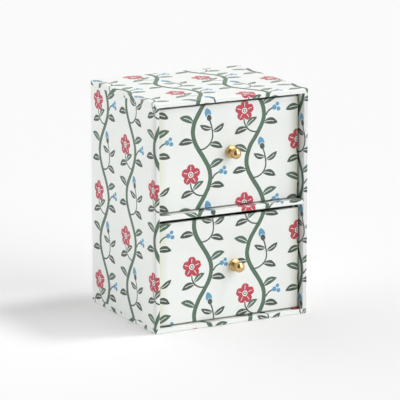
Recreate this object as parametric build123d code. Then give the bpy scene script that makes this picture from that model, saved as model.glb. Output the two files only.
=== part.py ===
from build123d import *
import os

# Small desk-top chest of two drawers. Rigid board is glued up as a case and two trays, every face is
# covered in paper, and a turned brass knob is screwed to each drawer front.
# Millimetres, +Z up, drawer fronts towards -Y. The origin is the middle of the case's footprint.

# Case, measured over its paper, and the rise of its shelf
case_width = 160.0
case_depth = 133.0
case_height = 216.0
shelf_above_middle = 0.5

# Sheet stock: board of the case, board of the drawer walls, board of the drawer fronts, paper
case_board = 4.0
drawer_board = 2.4
front_board = 2.4
paper = 0.3

# Roundings of the bare boards. Paper follows them, so its outside radius is one paper larger.
case_edge_radius = 0.8
mouth_edge_radius = 0.4
drawer_corner_radius = 1.7
drawer_edge_radius = 0.3
drawer_lip_radius = 0.3

# Paper work: how far sheets turn in at the mouths and lips, lap round a drawer front, and stand apart
case_turn_in = 16.0
drawer_turn_in = 12.0
front_lap = 14.0
seam_gap = 0.1

# Fit of a drawer in the upper bay. The lower bay is a little taller, and its drawer isn't pushed quite home.
front_recess = 8.0
lower_stands_out = 2.0
side_gap = 1.7
top_gap = 3.3
glide_gap = 0.6
rear_gap = 0.6

# Turned knob
knob_length = 14.2
knob_flange_diameter = 12.0
knob_flange_thickness = 2.0
knob_waist_diameter = 5.8
knob_cove_radius = 1.2
knob_head_diameter = 10.4

# Where each knob stands, from the middle of its drawer front: to the right, and up
upper_knob_right = 2.6
upper_knob_rise = 2.4
lower_knob_right = 5.4
lower_knob_rise = 1.0

# Screw and washer that hold the knob from inside the drawer
screw_diameter = 3.0
screw_head_diameter = 6.0
screw_head_height = 2.0
screw_slot_width = 0.8
screw_slot_depth = 0.9
screw_reach = 6.0
screw_tip_gap = 0.8
thread_gap = 0.1
hole_gap = 0.3
washer_diameter = 8.0
washer_thickness = 0.6

# Fillets stay inside these shares of the wall, or of the larger fillet, that they are cut on
wall_round_share = 0.72
lip_round_share = 0.16
edge_round_share = 0.6

# Cuts run past the faces that they open by this much
overrun = 2.0

# Levels and faces worked out from the sizes above
case_wall = case_board + 2 * paper
bay_half_width = case_width / 2 - case_wall
lower_bay_height = (case_height - 3 * case_wall) / 2 + shelf_above_middle
upper_bay_height = lower_bay_height - 2 * shelf_above_middle
case_front = -case_depth / 2
bay_back = case_depth / 2 - case_wall
lower_bay_floor = case_wall
upper_bay_floor = lower_bay_floor + lower_bay_height + case_wall
bays = ((lower_bay_floor, lower_bay_height), (upper_bay_floor, upper_bay_height))
turn_in_end = case_front + case_turn_in

drawer_wall = drawer_board + 2 * paper
front_wall = front_board + 2 * paper
drawer_half_width = bay_half_width - side_gap
drawer_height = upper_bay_height - glide_gap - top_gap
drawer_front = case_front + front_recess
drawer_rear = bay_back - rear_gap
hollow_half_width = drawer_half_width - drawer_wall
hollow_front = drawer_front + front_wall
hollow_rear = drawer_rear - drawer_wall
drawer_corner = min(drawer_corner_radius, drawer_board * wall_round_share)
drawer_edge = min(drawer_edge_radius, drawer_corner * edge_round_share)
drawer_lip = min(drawer_lip_radius, drawer_board * lip_round_share)


def block(low, high):
    """A block between two opposite corners."""
    size = [b - a for a, b in zip(low, high)]
    middle = [(a + b) / 2 for a, b in zip(low, high)]
    return Pos(*middle) * Box(*size)


def rod(point, direction, diameter, length):
    """A round bar that starts at a point and runs in a direction."""
    return extrude(Plane(point, z_dir=direction) * Circle(diameter / 2), length)


# Case. One form is drawn twice, over the bare boards and over their paper. The boards are slices of
# the first, and the sheets of paper are slices of the skin between the two.


def bay_space(floor, height, grow):
    """The room in one bay between its finished faces, grown on every side and open at the mouth."""
    low = (-bay_half_width - grow, case_front - overrun, floor - grow)
    high = (bay_half_width + grow, bay_back + grow, floor + height + grow)
    return block(low, high)


def case_form(cover):
    """The case with its bays, over boards that carry this thickness of paper."""
    grow = 2 * (cover - paper)
    shell = Box(case_width + grow, case_depth + grow, case_height + grow)
    shell = Pos(0, 0, case_height / 2) * fillet(shell.edges(), case_edge_radius + cover)
    for floor, height in bays:
        shell = shell - bay_space(floor, height, paper - cover)
    front_face = shell.faces().sort_by(Axis.Y)[0]
    mouths = [edge for wire in front_face.inner_wires() for edge in wire.edges()]
    return shell.fillet(mouth_edge_radius + cover, mouths)


case_core = case_form(0)
case_skin = case_form(paper) - case_core

# Faces of the bare boards, and limits well outside the case
inner_side = bay_half_width + paper
inner_back = bay_back + paper
base_top = lower_bay_floor - paper
shelf_under = lower_bay_floor + lower_bay_height + paper
shelf_top = upper_bay_floor - paper
top_under = case_height - case_wall + paper
far_side = case_width
far_front = -case_depth
far_back = case_depth
far_low = -case_height
far_high = 2 * case_height

board_zones = {
    "left_side_board": ((-far_side, far_front, far_low), (-inner_side, far_back, far_high)),
    "right_side_board": ((inner_side, far_front, far_low), (far_side, far_back, far_high)),
    "top_board": ((-inner_side, far_front, top_under), (inner_side, far_back, far_high)),
    "base_board": ((-inner_side, far_front, far_low), (inner_side, far_back, base_top)),
    "shelf_board": ((-inner_side, far_front, shelf_under), (inner_side, inner_back, shelf_top)),
    "back_board": ((-inner_side, inner_back, base_top), (inner_side, far_back, top_under)),
}
nodes = {name: case_core & block(*zone) for name, zone in board_zones.items()}


def lining_space(floor, height, ahead):
    """The stretch of a bay, board to board, that a plain lining covers, begun this much nearer the mouth."""
    low = (-inner_side, turn_in_end - ahead, floor - paper)
    return block(low, (inner_side, inner_back, floor + height + paper))


def shelf_strip_space(grow):
    """Room for the strip that is folded over the shelf's front edge, grown sideways, up and down."""
    low = (-inner_side - grow, far_front, shelf_under - paper - grow)
    return block(low, (inner_side + grow, turn_in_end, shelf_top + paper + grow))


# Top and base sheets lap down and up the sides by the thickness of the wall, and turn in at the mouth.
# The side sheet runs round left, back and right between them, and turns in round both front rims.
cleared = case_skin
for floor, height in bays:
    cleared = cleared - lining_space(floor, height, seam_gap)
top_seam = case_height - case_wall
base_seam = case_wall
nodes["top_cover_paper"] = cleared & block((-far_side, far_front, top_seam), (far_side, far_back, far_high))
nodes["base_cover_paper"] = cleared & block((-far_side, far_front, far_low), (far_side, far_back, base_seam))
side_low = (-far_side, far_front, base_seam + seam_gap)
side_high = (far_side, far_back, top_seam - seam_gap)
nodes["side_cover_paper"] = (cleared & block(side_low, side_high)) - shelf_strip_space(seam_gap)
nodes["shelf_edge_paper"] = cleared & shelf_strip_space(0)
nodes["lower_bay_lining"] = case_skin & lining_space(lower_bay_floor, lower_bay_height, 0)
nodes["upper_bay_lining"] = case_skin & lining_space(upper_bay_floor, upper_bay_height, 0)

# Drawer, drawn standing on zero and pushed home. Both are alike but for the place of the knob.


def tray_form(cover):
    """A drawer, over boards that carry this thickness of paper."""
    inset = paper - cover
    width = 2 * (drawer_half_width - inset)
    height = drawer_height - 2 * inset
    rear = Plane((0, drawer_rear - inset, drawer_height / 2), x_dir=(1, 0, 0), z_dir=(0, -1, 0))
    outline = rear * RectangleRounded(width, height, drawer_corner + cover)
    tray = extrude(outline, drawer_rear - drawer_front - 2 * inset)
    ends = tray.edges().group_by(Axis.Y)
    tray = fillet(ends[0] + ends[-1], drawer_edge + cover)
    low = (-hollow_half_width - inset, hollow_front - inset, drawer_wall - inset)
    high = (hollow_half_width + inset, hollow_rear + inset, drawer_height + overrun)
    tray = tray - block(low, high)
    rim = tray.faces().sort_by(Axis.Z)[-1]
    lip = [edge for wire in rim.inner_wires() for edge in wire.edges()]
    return tray.fillet(drawer_lip + cover, lip)


tray_core = tray_form(0)
tray_skin = tray_form(paper) - tray_core
hollow_side = hollow_half_width + paper
hollow_fore = hollow_front - paper
hollow_aft = hollow_rear + paper
floor_top = drawer_wall - paper

tray_zones = {
    "front_board": ((-far_side, far_front, far_low), (far_side, hollow_fore, far_high)),
    "left_board": ((-far_side, hollow_fore, far_low), (-hollow_side, far_back, far_high)),
    "right_board": ((hollow_side, hollow_fore, far_low), (far_side, far_back, far_high)),
    "back_board": ((-hollow_side, hollow_aft, far_low), (hollow_side, far_back, far_high)),
    "floor_board": ((-hollow_side, hollow_fore, far_low), (hollow_side, hollow_aft, floor_top)),
}
tray = {name: tray_core & block(*zone) for name, zone in tray_zones.items()}

# The printed front sheet laps round onto the walls, and the plain body sheet covers the rest. Both
# fold over the lip and down inside, and the lining covers what is left of the hollow.
lap_end = drawer_front + front_lap
lining_low = (-hollow_side, hollow_fore, floor_top)
lining_high = (hollow_side, hollow_aft, drawer_height - drawer_turn_in)
over_lining = (hollow_side, hollow_aft, drawer_height - drawer_turn_in + seam_gap)
turned = tray_skin - block(lining_low, over_lining)
tray["front_cover_paper"] = turned & block((-far_side, far_front, far_low), (far_side, lap_end, far_high))
body_start = lap_end + seam_gap
tray["body_cover_paper"] = turned & block((-far_side, body_start, far_low), (far_side, far_back, far_high))
tray["lining_paper"] = tray_skin & block(lining_low, lining_high)


def knob(seat):
    """A ball on a short waist and a beaded flange, turned from solid bar and bored for its screw."""
    flange_radius = knob_flange_diameter / 2
    bead = knob_flange_thickness / 2
    waist = knob_waist_diameter / 2
    head = knob_head_diameter / 2
    head_middle = knob_length - head
    head_start = head_middle - (head**2 - waist**2) ** 0.5
    cove_top = knob_flange_thickness + knob_cove_radius
    shape = Line((0, 0), (flange_radius - bead, 0))
    shape += ThreePointArc(shape @ 1, (flange_radius, bead), (flange_radius - bead, knob_flange_thickness))
    shape += Line(shape @ 1, (waist + knob_cove_radius, knob_flange_thickness))
    shape += RadiusArc(shape @ 1, (waist, cove_top), knob_cove_radius)
    shape += Line(shape @ 1, (waist, head_start))
    shape += ThreePointArc(shape @ 1, (head, head_middle), (0, knob_length))
    shape += Line(shape @ 1, (0, 0))
    axis_plane = Plane(seat, x_dir=(1, 0, 0), z_dir=(0, 0, -1))
    turned_knob = revolve(axis_plane * make_face(shape), Axis(seat, (0, -1, 0)))
    bore_depth = screw_reach + screw_tip_gap
    return turned_knob - rod(seat, (0, -1, 0), screw_diameter + 2 * thread_gap, bore_depth)


def knob_fixings(seat):
    """The screw and washer behind a knob, seated on the drawer's lining."""
    x, y, z = seat
    wall_back = (x, hollow_front, z)
    head_seat = (x, hollow_front + washer_thickness, z)
    washer = rod(wall_back, (0, 1, 0), washer_diameter, washer_thickness)
    washer = washer - rod(wall_back, (0, 1, 0), screw_diameter + 2 * hole_gap, washer_thickness)
    head = rod(head_seat, (0, 1, 0), screw_head_diameter, screw_head_height)
    head = fillet(head.edges().sort_by(Axis.Y)[-1], screw_head_height / 2)
    head_end = y + front_wall + washer_thickness + screw_head_height
    slot_low = (x - screw_slot_width / 2, head_end - screw_slot_depth, z - screw_head_diameter)
    slot_high = (x + screw_slot_width / 2, head_end + overrun, z + screw_head_diameter)
    shank = rod(head_seat, (0, -1, 0), screw_diameter, washer_thickness + front_wall + screw_reach)
    return head - block(slot_low, slot_high) + shank, washer


def drawer(prefix, bay_floor, stands_out, knob_right, knob_rise):
    """Every piece of one drawer, standing a glide gap above its bay's floor and this far out of it."""
    seat = (knob_right, drawer_front, drawer_height / 2 + knob_rise)
    hole = rod(seat, (0, 1, 0), screw_diameter + 2 * hole_gap, front_wall)
    pieces = dict(tray)
    for name in ("front_board", "front_cover_paper", "lining_paper"):
        pieces[name] = pieces[name] - hole
    pieces["knob"] = knob(seat)
    pieces["knob_screw"], pieces["knob_washer"] = knob_fixings(seat)
    place = Pos(0, -stands_out, bay_floor + glide_gap)
    return {f"{prefix}_{name}": place * piece for name, piece in pieces.items()}


nodes.update(drawer("upper_drawer", upper_bay_floor, 0, upper_knob_right, upper_knob_rise))
nodes.update(drawer("lower_drawer", lower_bay_floor, lower_stands_out, lower_knob_right, lower_knob_rise))

os.makedirs("parts", exist_ok=True)
for name, shape in nodes.items():
    export_step(shape, f"parts/{name}.step")
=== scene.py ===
import math

import bmesh
import bpy
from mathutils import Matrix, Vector


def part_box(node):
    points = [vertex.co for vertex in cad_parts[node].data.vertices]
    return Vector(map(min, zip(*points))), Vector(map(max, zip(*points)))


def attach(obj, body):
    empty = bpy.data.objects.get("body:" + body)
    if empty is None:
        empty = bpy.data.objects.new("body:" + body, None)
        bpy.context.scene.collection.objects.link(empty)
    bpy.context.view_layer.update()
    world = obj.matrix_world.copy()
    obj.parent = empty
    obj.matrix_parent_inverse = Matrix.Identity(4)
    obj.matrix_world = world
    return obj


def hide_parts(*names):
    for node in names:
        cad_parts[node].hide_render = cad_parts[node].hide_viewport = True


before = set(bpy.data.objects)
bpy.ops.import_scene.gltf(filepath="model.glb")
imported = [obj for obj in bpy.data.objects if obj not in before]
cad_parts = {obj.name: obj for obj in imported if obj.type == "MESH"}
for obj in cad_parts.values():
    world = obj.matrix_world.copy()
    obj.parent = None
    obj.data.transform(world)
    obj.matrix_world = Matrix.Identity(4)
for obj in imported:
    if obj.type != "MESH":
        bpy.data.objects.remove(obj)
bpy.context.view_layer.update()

# Boards of the case and of both drawers: grey-brown rigid board, pressed from waste fibre and sawn
# to size, then glued edge to face. The paper hides all of it but the hairlines between two sheets.

mm_per_m = 1000.0


class Field:
    """A number, colour or direction that changes over a surface. Sums of fields add Math nodes."""

    def __init__(self, tree, socket):
        self.tree = tree
        self.socket = socket

    def node(self, kind, settings, sockets, output=0):
        """Adds a node of any kind: its settings first, then the value or link of each socket."""
        made = self.tree.nodes.new(kind)
        for name, value in settings.items():
            setattr(made, name, value)
        for name, value in sockets.items():
            if isinstance(value, Field):
                self.tree.links.new(value.socket, made.inputs[name])
            else:
                made.inputs[name].default_value = value
        return Field(self.tree, made.outputs[output]) if made.outputs else None

    def math(self, operation, *values):
        return self.node("ShaderNodeMath", {"operation": operation}, dict(enumerate(values)))

    def __add__(self, other):
        return self.math("ADD", self, other)

    def __sub__(self, other):
        return self.math("SUBTRACT", self, other)

    def __rsub__(self, other):
        return self.math("SUBTRACT", other, self)

    def __mul__(self, other):
        return self.math("MULTIPLY", self, other)

    def __truediv__(self, other):
        return self.math("DIVIDE", self, other)

    def __gt__(self, other):
        return self.math("GREATER_THAN", self, other)

    def __neg__(self):
        return self.math("MULTIPLY", self, -1)

    def __abs__(self):
        return self.math("ABSOLUTE", self)

    __radd__ = __add__
    __rmul__ = __mul__

    def least(self, other):
        return self.math("MINIMUM", self, other)

    def most(self, other):
        return self.math("MAXIMUM", self, other)

    def clamp(self):
        """The same field, held between 0 and 1."""
        return self.node("ShaderNodeClamp", {}, {"Value": self})

    def far(self, other):
        """Length of the line whose two legs are this field and another."""
        legs = self.node("ShaderNodeCombineXYZ", {}, {0: self, 1: other})
        return self.node("ShaderNodeVectorMath", {"operation": "LENGTH"}, {0: legs}, "Value")

    def split(self):
        """The three parts of a direction or a place."""
        return [self.node("ShaderNodeSeparateXYZ", {}, {0: self}, part) for part in range(3)]

    def noise(self, scale, detail=3.0, stretch=(1, 1, 1)):
        """Cloudy change from 0 to 1 over a place in millimetres, with this many clouds in a millimetre."""
        pulled = self.node("ShaderNodeVectorMath", {"operation": "MULTIPLY"}, {0: self, 1: stretch})
        return self.node("ShaderNodeTexNoise", {}, {"Vector": pulled, "Scale": scale, "Detail": detail})

    def over(self, ground, ink):
        """A colour laid over another as thickly as this field says, from 0 to 1."""
        return self.node("ShaderNodeMix", {"data_type": "RGBA"}, {0: self, 6: ground, 7: ink}, 2)

    def glaze(self, ground, tint):
        """A clear tint laid over a colour as thickly as this field says, which darkens what is under it."""
        settings = {"data_type": "RGBA", "blend_type": "MULTIPLY"}
        return self.node("ShaderNodeMix", settings, {0: self, 6: ground, 7: tint}, 2)


def tone(red, green, blue):
    """A colour given in screen values from 0 to 255."""
    parts = [value / 255 for value in (red, green, blue)]
    return [((part + 0.055) / 1.055) ** 2.4 for part in parts] + [1.0]


def start_finish(name):
    """A new material, with the place on the piece in millimetres and the way its surface faces."""
    material = bpy.data.materials.new(name)
    material.use_nodes = True
    material.node_tree.nodes.clear()
    bare = Field(material.node_tree, None)
    metres = bare.node("ShaderNodeTexCoord", {}, {}, "Object")
    place = bare.node("ShaderNodeVectorMath", {"operation": "SCALE"}, {0: metres, "Scale": mm_per_m})
    facing = bare.node("ShaderNodeTexCoord", {}, {}, "Normal")
    return material, place, facing


def end_finish(colour, roughness, relief, **fixed):
    """Joins a finish to the surface. The relief is in millimetres, and fixed sockets keep one value."""
    height = {"Height": relief, "Strength": 1.0, "Distance": 1 / mm_per_m}
    bump = relief.node("ShaderNodeBump", {}, height)
    sockets = {"Base Color": colour, "Roughness": roughness, "Normal": bump}
    sockets.update({name.replace("_", " "): value for name, value in fixed.items()})
    shader = relief.node("ShaderNodeBsdfPrincipled", {}, sockets)
    relief.node("ShaderNodeOutputMaterial", {}, {"Surface": shader})


def dress(material, *names):
    """Gives a finish to pieces that keep their own shape."""
    for name in names:
        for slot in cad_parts[name].material_slots:
            slot.material = material


board_dark = tone(128, 118, 102)
board_pale = tone(176, 164, 144)
board_roughness = 0.82
board_roughness_swing = 0.1
board_relief = 0.09
fleck_level = 0.68
fleck_strength = 0.35
fleck_tone = tone(96, 88, 78)

greyboard, place, facing = start_finish("greyboard")
fibre = place.noise(0.9, detail=6.0, stretch=(1, 0.35, 1))
fleck = place.noise(2.6, detail=2.0) > fleck_level
colour = fibre.over(board_dark, board_pale)
colour = (fleck * fleck_strength).over(colour, fleck_tone)
end_finish(colour, fibre * board_roughness_swing + board_roughness, fibre * board_relief)

drawers = ("upper_drawer", "lower_drawer")
case_boards = ("left_side", "right_side", "top", "base", "shelf", "back")
drawer_boards = ("front", "left", "right", "back", "floor")
dress(greyboard, *(f"{board}_board" for board in case_boards))
dress(greyboard, *(f"{drawer}_{board}_board" for drawer in drawers for board in drawer_boards))

# Linings of the two bays, and the linings and body sheets of the drawers: plain off-white paper with
# a satin face, pasted down. The body sheets fold over the drawer's lip and the linings cover the rest.

paper_light = tone(244, 247, 244)
paper_shade = tone(237, 240, 236)
cloud_share = 0.7
paper_roughness = 0.36
paper_roughness_swing = 0.14
fibre_relief = 0.014
wave_relief = 0.16
plain_gloss = 0.35


def paper_ground(place):
    """Colour, roughness and relief of bare paper: clouds of tone, fine fibre, and a board that waves."""
    cloud = place.noise(0.05, detail=2.0)
    fibre = place.noise(2.4, detail=5.0)
    wave = place.noise(0.03, detail=0.0)
    colour = (cloud * cloud_share + fibre * (1 - cloud_share)).over(paper_shade, paper_light)
    roughness = fibre * paper_roughness_swing + paper_roughness
    return colour, roughness, fibre * fibre_relief + wave * wave_relief


plain_paper, place, facing = start_finish("plain_paper")
colour, roughness, relief = paper_ground(place)
end_finish(colour, roughness, relief, Specular_IOR_Level=plain_gloss)
dress(plain_paper, "upper_bay_lining", "lower_bay_lining")
for drawer in drawers:
    dress(plain_paper, f"{drawer}_body_cover_paper", f"{drawer}_lining_paper")

# Side sheet: one length of printed paper round the left, back and right of the case, turned in round
# both front rims. Its print is a trailing vine in two greens, with red blossoms and blue buds, and
# its front corners and their rims are greyed with painted shade.

column_width = 40.0
vine_repeat = 62.0
column_drop = 0.37 * vine_repeat
half_turn = vine_repeat / 2
vine_sway = 6.5
vine_thickness = 3.0
core_inset = 0.95
stalk_thickness = 1.0
rib_thickness = 0.45
rib_length_share = 0.72
petal_count = 5
petal_middle = 4.2
petal_radius = 2.9
notch_middle = 7.45
notch_radius = 0.7
vein_thickness = 0.44
vein_start = 2.8
vein_end = 5.6
eye_radius = 2.0
stamen_outer = 1.3
stamen_inner = 0.7
bud_gap = 0.35
leaf_green = tone(66, 97, 76)
core_green = tone(82, 114, 90)
stalk_green = tone(49, 68, 56)
blossom_red = tone(188, 44, 68)
bud_blue = tone(88, 156, 193)


def dot(x, y, middle, radius):
    """Distance outside a round dot."""
    return (x - middle[0]).far(y - middle[1]) - radius


def curl(x, y, middle, radius, start, end):
    """Distance outside a stalk drawn along a circle between two angles in degrees."""
    aim = math.radians((start + end) / 2)
    reach = math.radians((end - start) / 2)
    across, up = x - middle[0], y - middle[1]
    ahead = across * math.cos(aim) + up * math.sin(aim)
    aside = up * math.cos(aim) - across * math.sin(aim)
    off_line = abs(ahead.far(aside) - radius) - stalk_thickness / 2
    past_end = (abs(aside.math("ARCTAN2", aside, ahead)) - reach) * radius
    return off_line.most(past_end)


def leaf(x, y, foot, tip, width, bow=0.0, rib=0.0):
    """Distance outside a pointed leaf from foot to tip, bowed to one side, with a bare line for its rib."""
    run, rise = tip[0] - foot[0], tip[1] - foot[1]
    length = math.hypot(run, rise)
    half, belly = length / 2, width / 2
    radius = (half**2 + belly**2) / (2 * belly)
    across, up = x - foot[0], y - foot[1]
    along = across * (run / length) + up * (rise / length)
    aside = up * (run / length) - across * (rise / length)
    if bow:
        aside = aside - along * (length - along) * (4 * bow / length**2)
    outline = (along - half).far(abs(aside) + (radius - belly)) - radius
    if not rib:
        return outline
    return outline.most((rib / 2 - abs(aside)).least(length * rib_length_share - along))


def blossom(x, y, middle):
    """Distances outside the notched and veined petals of an open blossom, its pale eye and its stamens."""
    across, up = x - middle[0], y - middle[1]
    sector = math.pi / petal_count
    angle = up.math("ARCTAN2", up, across) - math.pi / 2
    angle = angle.math("WRAP", angle, sector, -sector)
    radius = across.far(up)
    out, aside = radius * angle.math("COSINE", angle), radius * angle.math("SINE", angle)
    petal = (out - petal_middle).far(aside) - petal_radius
    petal = petal.most(notch_radius - (out - notch_middle).far(aside))
    vein = (abs(aside) - vein_thickness / 2).most(out - vein_end).most(vein_start - out)
    stamens = (radius - stamen_outer).most(stamen_inner - radius)
    return petal.most(-vein), radius - eye_radius, stamens


def vine_print(u, v):
    """The inks in the order they are laid, each with the distance outside its shapes, as first drawn."""
    column = u.math("FLOOR", u / column_width)
    x = u - (column + 0.5) * column_width
    y = v + column * column_drop
    y = y.math("WRAP", y, vine_repeat, 0)
    second = y > half_turn
    y = y - second * half_turn
    x = x * (1 - second * 2)

    # The vine sways right and left. Its second half turn is the first one mirrored.
    turn = y * (math.pi / half_turn)
    lean = turn.math("COSINE", turn) * (vine_sway * math.pi / half_turn)
    vine = abs(x - turn.math("SINE", turn) * vine_sway) / lean.far(1.0) - vine_thickness / 2

    # In the bend a stalk curls up to a blossom, and in the next bend to a leafy sprig with a bud
    stalk = curl(x, y, (0.6, 12.4), 8.8, 178, 284)
    petal, eye, stamens = blossom(x, y, (-8.0, 18.4))
    low_leaf = leaf(x, y, (-5.6, 6.4), (-15.6, 3.4), 4.4, -1.0, rib_thickness)
    inner_leaf = leaf(x, y, (-6.6, 7.4), (1.4, 13.4), 3.8, 0.9, rib_thickness)
    sprig = curl(x, y, (17.8, 12.0), 26.0, 152, 180)
    outer_sprig_leaf = leaf(x, y, (-8.2, 14.6), (-16.6, 19.8), 3.7, 0.8, rib_thickness)
    inner_sprig_leaf = leaf(x, y, (-7.8, 16.8), (1.2, 19.8), 3.6, -0.8, rib_thickness)
    bud = leaf(x, y, (-5.7, 23.3), (-3.6, 30.8), 4.7)
    cup = leaf(x, y, (-6.0, 22.0), (-5.0, 26.4), 3.5)

    # Outside the bend stand two leaves, and by the blossom three berries
    near_leaf = leaf(x, y, (6.2, 9.4), (17.0, 8.2), 4.6, 1.1, rib_thickness)
    high_leaf = leaf(x, y, (5.6, 21.6), (16.4, 26.2), 4.6, 1.0, rib_thickness)
    berry_stalk = curl(x, y, (14.6, 11.2), 7.2, 92, 156)
    berries = dot(x, y, (14.5, 18.6), 1.7)
    berries = berries.least(dot(x, y, (17.6, 17.4), 1.45)).least(dot(x, y, (16.9, 20.7), 1.3))

    in_first = second * vine_repeat
    in_second = (1 - second) * vine_repeat
    sprig_leaves = outer_sprig_leaf.least(inner_sprig_leaf).least(cup).least(sprig) + in_second
    stalks = stalk.least(berry_stalk + in_first).least(low_leaf).least(near_leaf)
    bud = bud.most(bud_gap - cup)
    return (
        (stalk_green, stalks.least(sprig_leaves)),
        (leaf_green, vine.least(high_leaf).least(inner_leaf + in_first)),
        (core_green, vine + core_inset),
        (blossom_red, petal + in_first),
        (bud_blue, (berries + in_first).least(bud + in_second)),
        (paper_light, eye + in_first),
        (stalk_green, stamens + in_first),
    )


print_enlargement = 1.4
drift_across = 1.2
drift_up = 0.9
tremble_size = 0.35
ink_edge = 0.08
ink_density = 0.91
ink_mottle = 0.12
fold_fade = 0.35
print_gloss = 0.5


def printed_finish(name, unfold, painted_shade=None):
    """Printed paper, where unfold turns a place and the facing there into a place on the flat sheet."""
    material, place, facing = start_finish(name)
    colour, roughness, relief = paper_ground(place)
    across, up = unfold(place.split(), facing.split())
    drift = place.noise(0.07, detail=1.0) - 0.5
    tremble = (place.noise(0.9, detail=2.0) - 0.5) * tremble_size
    u = (across + drift * drift_across + tremble) / print_enlargement
    v = (up - drift * drift_up + tremble) / print_enlargement
    squares = [part * part for part in facing.split()]
    fold = 1 - squares[0].most(squares[1]).most(squares[2])
    density = place.noise(0.5, detail=4.0) * ink_mottle + ink_density - fold * fold_fade
    for ink, distance in vine_print(u, v):
        cover = (0.5 - distance / ink_edge).clamp()
        colour = (cover * density).over(colour, ink)
    # Painted shade, where a piece is given one
    if painted_shade:
        colour = painted_shade(place.split(), facing.split(), colour)
    end_finish(colour, roughness, relief, Specular_IOR_Level=print_gloss)
    return material


case_low, case_high = (corner * mm_per_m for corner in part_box("side_cover_paper"))
board_low, board_high = (corner * mm_per_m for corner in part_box("left_side_board"))
paper_thickness = board_low.x - case_low.x
case_wall = board_high.x - case_low.x + paper_thickness
case_depth = case_high.y - case_low.y


def unfold_side_sheet(place, facing):
    """From the right rim's turn-in round the right, back and left of the case to the left rim's turn-in."""
    x, y, z = place
    on_right = x > 0
    outward = facing[0] * (on_right * 2 - 1) > 0
    at_back = facing[1] > 0
    along_outside = case_high.y - y
    along_rim = case_depth + case_high.x - abs(x)
    along_inside = case_depth + case_wall + y - case_low.y
    along_wall = along_inside + outward * (along_outside - along_inside)
    facing_x, facing_y = facing[0] * facing[0], facing[1] * facing[1]
    left = facing_x * along_wall + facing_y * (1 - at_back) * along_rim
    right = (2 * case_low.x) - left
    u = left + on_right * (right - left)
    across_back = case_low.x - x
    return u + facing_y * at_back * (across_back - u), z


# Painted shade along the front corners of the case, as on edges rounded wider than they are.
corner_shade_width = 9.0
corner_shade_strength = 0.24
shade_grey = tone(160, 153, 151)


def shaded_corners(place, facing, colour):
    """Painted shade along the two front corners and their rims, as on edges rounded wider than they are."""
    x, y, z = place
    from_corner = (y - case_low.y) + (case_high.x - abs(x))
    # Painted shade, strongest at each front corner and fading inwards
    corner_shade = (1 - from_corner / corner_shade_width).clamp()
    return (corner_shade * corner_shade_strength).glaze(colour, shade_grey)


# The side sheet, with painted shade at its front corners
dress(printed_finish("side_sheet_print", unfold_side_sheet, shaded_corners), "side_cover_paper")

# Top and base sheets: one printed sheet over each end of the case, lapped down its sides and back,
# folded over the front edge and turned in at the mouth. The lower drawer slides over the base's turn-in.

# Painted shade on the faces turned up inside the bays, under the drawer fronts.
upturned_shade_strength = 0.2


def unfold_end_sheet(outer_level, up):
    """A flat end at this level, with laps that run down from it, or up where up is -1."""

    def unfold(place, facing):
        x, y, z = place
        drop = (outer_level - z) * up
        on_right = x > 0
        at_back = facing[1] > 0
        on_face = facing[2] * up > 0
        facing_x, facing_y, facing_z = (part * part for part in facing)
        side_u = (on_right * 2 - 1) * (drop + case_high.x)
        front_v = case_low.y - drop
        back_v = drop + case_high.y
        inside_v = case_low.y - case_wall - (y - case_low.y)
        face_v = inside_v + on_face * (y - inside_v)
        end_v = front_v + at_back * (back_v - front_v)
        u = x + facing_x * (side_u - x)
        v = facing_x * y + facing_y * end_v + facing_z * face_v
        return u, v * up

    return unfold


def shaded_upturned_faces(place, facing, colour):
    """Painted shade on the faces turned up, which lie in the recesses under the drawer fronts."""
    return (facing[2].most(0) * upturned_shade_strength).glaze(colour, shade_grey)


top_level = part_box("top_cover_paper")[1].z * mm_per_m
base_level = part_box("base_cover_paper")[0].z * mm_per_m
dress(printed_finish("top_sheet_print", unfold_end_sheet(top_level, 1)), "top_cover_paper")
# The base sheet's turn-in carries painted shade under the lower drawer's front
base_print = printed_finish("base_sheet_print", unfold_end_sheet(base_level, -1), shaded_upturned_faces)
dress(base_print, "base_cover_paper")

# Shelf strip: a narrow length of the same print, folded over the front edge of the shelf between the
# bays and pasted down above and below it. The upper drawer slides over it.

shelf_low, shelf_high = (corner * mm_per_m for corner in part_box("shelf_edge_paper"))


def unfold_shelf_strip(place, facing):
    """The strip's front edge, with one lap above it and one below."""
    x, y, z = place
    on_top = facing[2] > 0
    depth = y - shelf_low.y
    above = depth + shelf_high.z
    below = shelf_low.z - depth
    lapped = below + on_top * (above - below)
    return x, z + facing[2] * facing[2] * (lapped - z)


# The shelf strip's top lap carries painted shade under the upper drawer's front
dress(printed_finish("shelf_strip_print", unfold_shelf_strip, shaded_upturned_faces), "shelf_edge_paper")

# Front sheets of the drawers: a printed sheet over each front board, lapped round onto the walls and
# the underside, folded over the lip and turned down inside. Its face carries a painted yellowish shade
# towards the sides, where the rims stand proud of it, and a painted dark line of shade along its foot.

# Painted shade on the drawer fronts: a dark line along the foot, and a yellowish shade towards the sides.
foot_shade_height = 1.3
foot_shade_strength = 0.9
foot_shade_grey = tone(92, 84, 72)
side_shade_width = 10.0
side_shade_strength = 0.45
side_shade_tone = tone(206, 204, 156)


def unfold_drawer_front(low, high, wall):
    """The front face between two corners, its laps, and the turn-in behind a wall this thick."""

    def unfold(place, facing):
        x, y, z = place
        depth = y - low.y
        on_right = x > 0
        on_top = facing[2] > 0
        inside = facing[1] > 0
        facing_x, facing_y, facing_z = (part * part for part in facing)
        side_u = (on_right * 2 - 1) * (depth + high.x)
        top_v = depth + high.z
        under_v = low.z - depth
        turned_v = high.z + wall + high.z - z
        end_v = z + inside * (turned_v - z)
        lap_v = under_v + on_top * (top_v - under_v)
        return x + facing_x * (side_u - x), facing_x * z + facing_y * end_v + facing_z * lap_v

    return unfold


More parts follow.
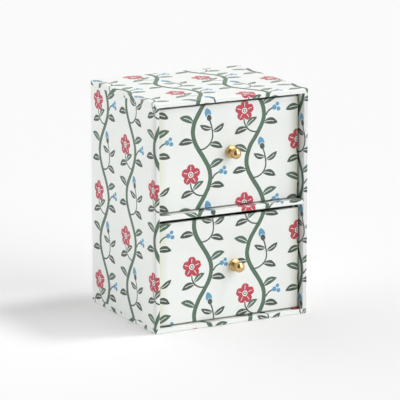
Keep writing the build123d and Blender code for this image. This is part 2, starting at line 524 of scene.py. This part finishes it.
def shaded_front(low, high):
    """Painted yellowish shade towards the sides of a front between two corners, and a painted dark line of
    shade along its foot.
    """

    def painted_shade(place, facing, colour):
        x, y, z = place
        # Painted shade, deepest at the sides, where the rims stand proud of the front
        side_shade = (1 - (high.x - abs(x)) / side_shade_width).clamp()
        on_face = facing[1] * facing[1]
        colour = (side_shade * on_face * side_shade_strength).glaze(colour, side_shade_tone)
        # Painted shade in the crevice along the foot, over the bay's floor
        foot_shade = (1 - (z - low.z) / foot_shade_height).clamp()
        return (foot_shade * foot_shade_strength).over(colour, foot_shade_grey)

    return painted_shade


for drawer in drawers:
    low, high = (corner * mm_per_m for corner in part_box(f"{drawer}_front_cover_paper"))
    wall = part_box(f"{drawer}_floor_board")[0].y * mm_per_m - low.y + paper_thickness
    unfold = unfold_drawer_front(low, high, wall)
    finish = printed_finish(f"{drawer}_front_print", unfold, shaded_front(low, high))
    dress(finish, f"{drawer}_front_cover_paper")

# Knobs: a ball on a short waist and a beaded flange, turned from solid brass bar and polished, with
# the lathe's faint rings left in it. Each is drawn tight to its drawer front by a screw from inside.

knob_rings = 96
flange_diameter = 12.0
flange_thickness = 2.0
waist_diameter = 5.8
cove_radius = 1.2
head_diameter = 10.4
groove_depth = 0.18
tip_flat = 0.9


def arc_points(middle, radius, start, end, steps):
    """Points along an arc between two angles in degrees, both ends included."""
    angles = [math.radians(start + (end - start) * step / steps) for step in range(steps + 1)]
    return [(middle[0] + radius * math.cos(a), middle[1] + radius * math.sin(a)) for a in angles]


def knob_outline(length):
    """Radius and height above the seat, from the middle of the flange's back to the tip of the ball."""
    bead = flange_thickness / 2
    rim = flange_diameter / 2 - bead
    waist = waist_diameter / 2
    head = head_diameter / 2
    ball_middle = length - head
    ball_foot = math.degrees(math.asin(waist / head)) - 90
    tip_angle = math.degrees(math.acos(tip_flat / head))
    groove_middle = (rim - groove_depth, flange_thickness)
    cove_middle = (waist + cove_radius, flange_thickness + cove_radius)
    outline = [(0, 0)]
    outline += arc_points((rim, bead), bead, -90, 90, steps=14)
    outline += arc_points(groove_middle, groove_depth, 0, -180, steps=6)
    outline += arc_points(cove_middle, cove_radius, -90, -180, steps=8)
    outline += arc_points((0, ball_middle), head, ball_foot, tip_angle, steps=40)
    outline += [(0, outline[-1][1])]
    return outline


def turned_mesh(name, seat, outline):
    """A solid turned about the line that runs forwards from its seat, as one closed mesh in metres."""
    solid = bmesh.new()
    rings = []
    for radius, height in outline:
        ring = []
        for step in range(knob_rings if radius > 0 else 1):
            angle = 2 * math.pi * step / knob_rings
            aside, up = radius * math.cos(angle), radius * math.sin(angle)
            place = (seat.x + aside / mm_per_m, seat.y - height / mm_per_m, seat.z + up / mm_per_m)
            ring.append(solid.verts.new(place))
        rings.append(ring)
    for near, far in zip(rings, rings[1:]):
        for step in range(knob_rings):
            after = (step + 1) % knob_rings
            corners = [near[step % len(near)], near[after % len(near)]]
            corners += [far[after % len(far)], far[step % len(far)]]
            solid.faces.new(dict.fromkeys(corners))
    bmesh.ops.recalc_face_normals(solid, faces=solid.faces)
    mesh = bpy.data.meshes.new(name)
    solid.to_mesh(mesh)
    solid.free()
    mesh.shade_smooth()
    piece = bpy.data.objects.new(name, mesh)
    bpy.context.collection.objects.link(piece)
    return piece


brass_dark = tone(206, 172, 114)
brass_pale = tone(222, 192, 140)
# Painted shade in the knob's waist, between the flange and the ball.
waist_shade_tone = tone(150, 108, 58)
waist_shade_strength = 0.55
waist_shade_reach = 2.0
brass_roughness = 0.1
ring_roughness = 0.06
smear_roughness = 0.08
ring_relief = 0.004


def brass_finish(name, seat):
    """Polished brass with turning rings about the axis of a knob, and painted shade browning its waist."""
    material, place, facing = start_finish(name)
    x, y, z = place.split()
    out = (x - seat.x * mm_per_m).far(z - seat.z * mm_per_m)
    height = seat.y * mm_per_m - y
    ring = out.node("ShaderNodeCombineXYZ", {}, {0: out, 1: height})
    rings = ring.noise(5.0, detail=2.0)
    smear = place.noise(0.45)
    # Painted shade, darkest in the cove between the flange and the ball
    waist_shade = (1 - abs(height - flange_thickness - cove_radius) / waist_shade_reach).clamp()
    colour = smear.over(brass_dark, brass_pale)
    colour = (waist_shade * waist_shade_strength).over(colour, waist_shade_tone)
    roughness = rings * ring_roughness + smear * smear_roughness + brass_roughness
    end_finish(colour, roughness, rings * ring_relief, Metallic=1.0)
    return material


for drawer in drawers:
    low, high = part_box(f"{drawer}_knob")
    seat = Vector(((low.x + high.x) / 2, high.y, (low.z + high.z) / 2))
    knob = turned_mesh(f"{drawer}_turned_knob", seat, knob_outline((high.y - low.y) * mm_per_m))
    knob.data.materials.append(brass_finish(f"{drawer}_knob_brass", seat))
    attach(knob, drawer)
    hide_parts(f"{drawer}_knob")

# Knob screws and washers: zinc-plated steel, headed and slotted on a machine, seen only inside an open
# drawer behind its knob.

zinc_dark = tone(186, 186, 182)
zinc_pale = tone(212, 212, 210)
zinc_roughness = 0.22
grain_roughness = 0.12
bloom_roughness = 0.1
grain_relief = 0.008

zinc_plate, place, facing = start_finish("zinc_plate")
grain = place.noise(3.0, stretch=(1, 0.2, 1))
bloom = place.noise(0.6)
roughness = grain * grain_roughness + bloom * bloom_roughness + zinc_roughness
end_finish(bloom.over(zinc_dark, zinc_pale), roughness, grain * grain_relief, Metallic=1.0)
for drawer in drawers:
    dress(zinc_plate, f"{drawer}_knob_screw", f"{drawer}_knob_washer")

# Stage: a wide pale floor, a little brighter to the eye than to the light that it passes on, in a room
# that glows behind on the left. A small softbox stands high on the right and a broad one on the right
# front, with a brown card for the metal to mirror, and the camera.

floor_half = 4.0
floor_clear = 0.0001
floor_tone = tone(244, 244, 244)
floor_seen = tone(220, 220, 220)
floor_lift = tone(127, 127, 127)
unlit = tone(0, 0, 0)
floor_roughness = 0.9
floor_relief = 0.02

floor_mesh = bpy.data.meshes.new("floor")
corners = [(-1, -1), (1, -1), (1, 1), (-1, 1)]
floor_points = [(x * floor_half, y * floor_half, -floor_clear) for x, y in corners]
floor_mesh.from_pydata(floor_points, [], [range(4)])
floor = bpy.data.objects.new("floor", floor_mesh)
bpy.context.collection.objects.link(floor)


def seen_directly(field):
    """1 for what the camera sees, straight or in a mirror or glass, and 0 for light that is passed on."""
    kinds = ("Camera", "Glossy", "Transmission")
    rays = [field.node("ShaderNodeLightPath", {}, {}, f"Is {kind} Ray") for kind in kinds]
    return rays[0].most(rays[1]).most(rays[2])


floor_paint, place, facing = start_finish("floor_paint")
grain = place.noise(0.02, detail=2.0)
seen = seen_directly(place)
colour = seen.over(floor_tone, floor_seen)
lift = seen.over(unlit, floor_lift)
end_finish(
    colour,
    floor_roughness,
    grain * floor_relief,
    Specular_IOR_Level=0.0,
    Emission_Color=lift,
    Emission_Strength=1.0,
)
floor_mesh.materials.append(floor_paint)

background = tone(246, 246, 246)
room_light = 1.95
bright_side = (-0.6, 0.8, 0)

world = bpy.data.worlds.new("room")
bpy.context.scene.world = world
world.use_nodes = True
world.node_tree.nodes.clear()
bare = Field(world.node_tree, None)
direction = bare.node("ShaderNodeTexCoord", {}, {}, "Generated")
towards_light = {0: direction, 1: bright_side}
glow = bare.node("ShaderNodeVectorMath", {"operation": "DOT_PRODUCT"}, towards_light, "Value")
glow = glow.most(0) * room_light
shown = seen_directly(bare).over(glow, background)
shine = bare.node("ShaderNodeBackground", {}, {"Color": shown, "Strength": 1.0})
bare.node("ShaderNodeOutputWorld", {}, {"Surface": shine})


def softbox(name, towards, strength, spread):
    """A distant lamp in the direction towards, with a face that looks this many degrees wide."""
    lamp = bpy.data.lights.new(name, "SUN")
    lamp.energy = strength
    lamp.angle = math.radians(spread)
    holder = bpy.data.objects.new(name, lamp)
    holder.rotation_euler = Vector(towards).to_track_quat("Z", "Y").to_euler()
    bpy.context.collection.objects.link(holder)


softbox("high_softbox", towards=(0.4384, -0.118, 0.891), strength=1.25, spread=12)
softbox("front_softbox", towards=(0.55, -0.74, 0.40), strength=2.15, spread=60)

view_azimuth = math.radians(-28.03)
view_elevation = math.radians(13.23)
view_distance = 2.7107
view_lens = 258.85
view_sensor = 36.0
view_limit = 50.0
view_middle = Vector((0, 0, 0.108))
view_drop = 0.00333
view_aside = 0.00126
card_distance = 0.4
card_height = 1.2
card_reach = math.radians(28)
card_steps = 12
card_brown = tone(130, 104, 70)
card_roughness = 0.9
card_relief = 0.05

card_edge = []
for step in range(card_steps + 1):
    turn = view_azimuth + card_reach * (2 * step / card_steps - 1)
    card_edge.append((math.sin(turn) * card_distance, -math.cos(turn) * card_distance))
card_points = [(x, y, z) for z in (0, card_height) for x, y in card_edge]
card_faces = [(s, s + 1, s + card_steps + 2, s + card_steps + 1) for s in range(card_steps)]
card_mesh = bpy.data.meshes.new("dark_card")
card_mesh.from_pydata(card_points, [], card_faces)
card = bpy.data.objects.new("dark_card", card_mesh)
bpy.context.collection.objects.link(card)
card.visible_camera = False
card.visible_diffuse = False
card.visible_transmission = False
card.visible_shadow = False
card_cloth, place, facing = start_finish("card_cloth")
weave = place.noise(0.5)
end_finish(card_brown, card_roughness, weave * card_relief, Specular_IOR_Level=0.0)
card_mesh.materials.append(card_cloth)

level = math.cos(view_elevation)
back = Vector((math.sin(view_azimuth) * level, -math.cos(view_azimuth) * level, math.sin(view_elevation)))
aside = Vector((math.cos(view_azimuth), math.sin(view_azimuth), 0))
upward = back.cross(aside)
camera = bpy.data.objects.new("camera", bpy.data.cameras.new("camera"))
camera.data.lens = view_lens
camera.data.sensor_width = view_sensor
camera.data.clip_end = view_limit
camera.location = view_middle + aside * view_aside - upward * view_drop + back * view_distance
camera.rotation_euler = back.to_track_quat("Z", "Y").to_euler()
bpy.context.collection.objects.link(camera)
bpy.context.scene.camera = camera
bpy.context.scene.view_settings.view_transform = "Standard"
